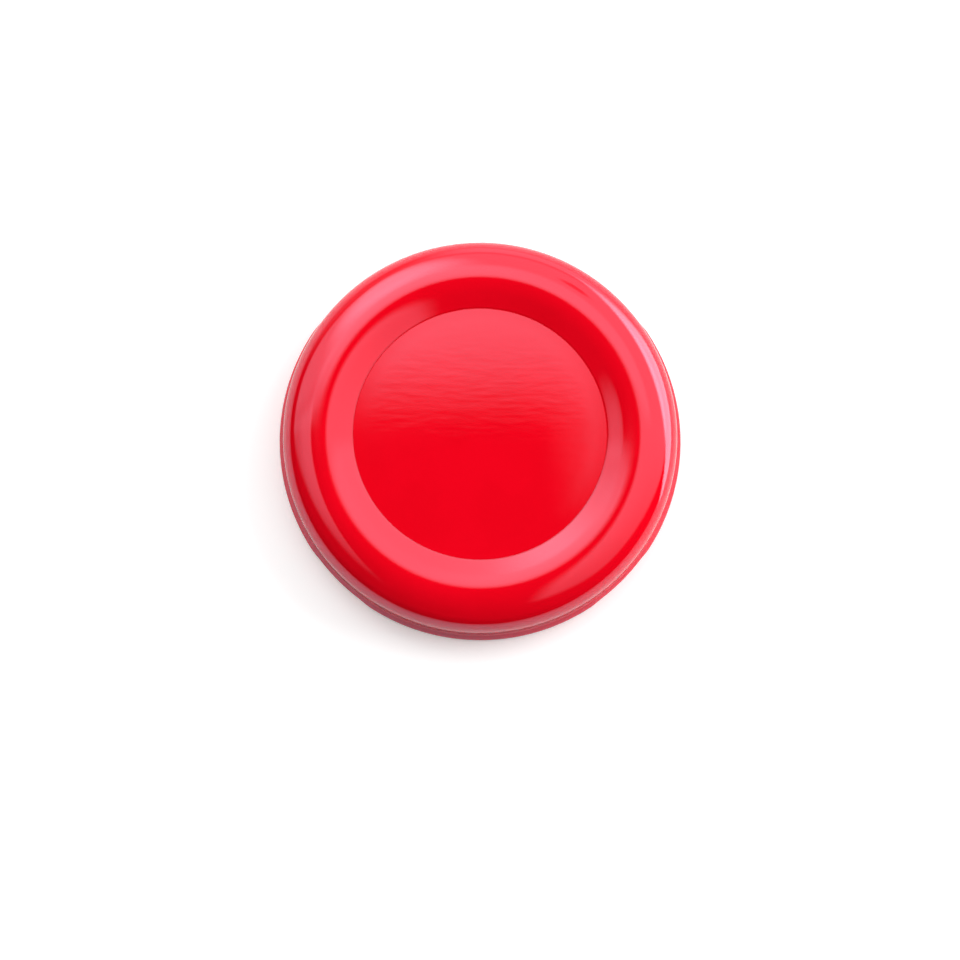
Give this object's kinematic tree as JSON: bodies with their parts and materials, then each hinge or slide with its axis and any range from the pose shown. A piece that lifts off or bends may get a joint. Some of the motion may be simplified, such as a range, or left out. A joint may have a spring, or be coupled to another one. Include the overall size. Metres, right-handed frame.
{
  "type": "metal lug cap",
  "caption": "Round shallow twist-off cap for a glass jar: glossy red sheet steel with a recessed flat panel, rounded shoulder, rolled curl, inward lugs and a sealing ring inside.",
  "frame": {"origin": "centre of the circle that the curl rests on, at the level of the surface it stands on", "axes": "+Z is the cap's axis and points up through the flat panel; +X is to the right and +Y is away from the viewer in the picture; the lugs stand half way between the X and Y axes"},
  "size_m": [0.0662, 0.0662, 0.0095],
  "materials": {
    "red_lacquered_steel": "glossy red enamel outside, pale gold lacquer inside",
    "sealing_compound": "cream cured compound, slightly glossy"
  },
  "bodies": {
    "root": {"cap_shell": "red_lacquered_steel", "sealing_ring": "sealing_compound"}
  },
  "joints": []
}
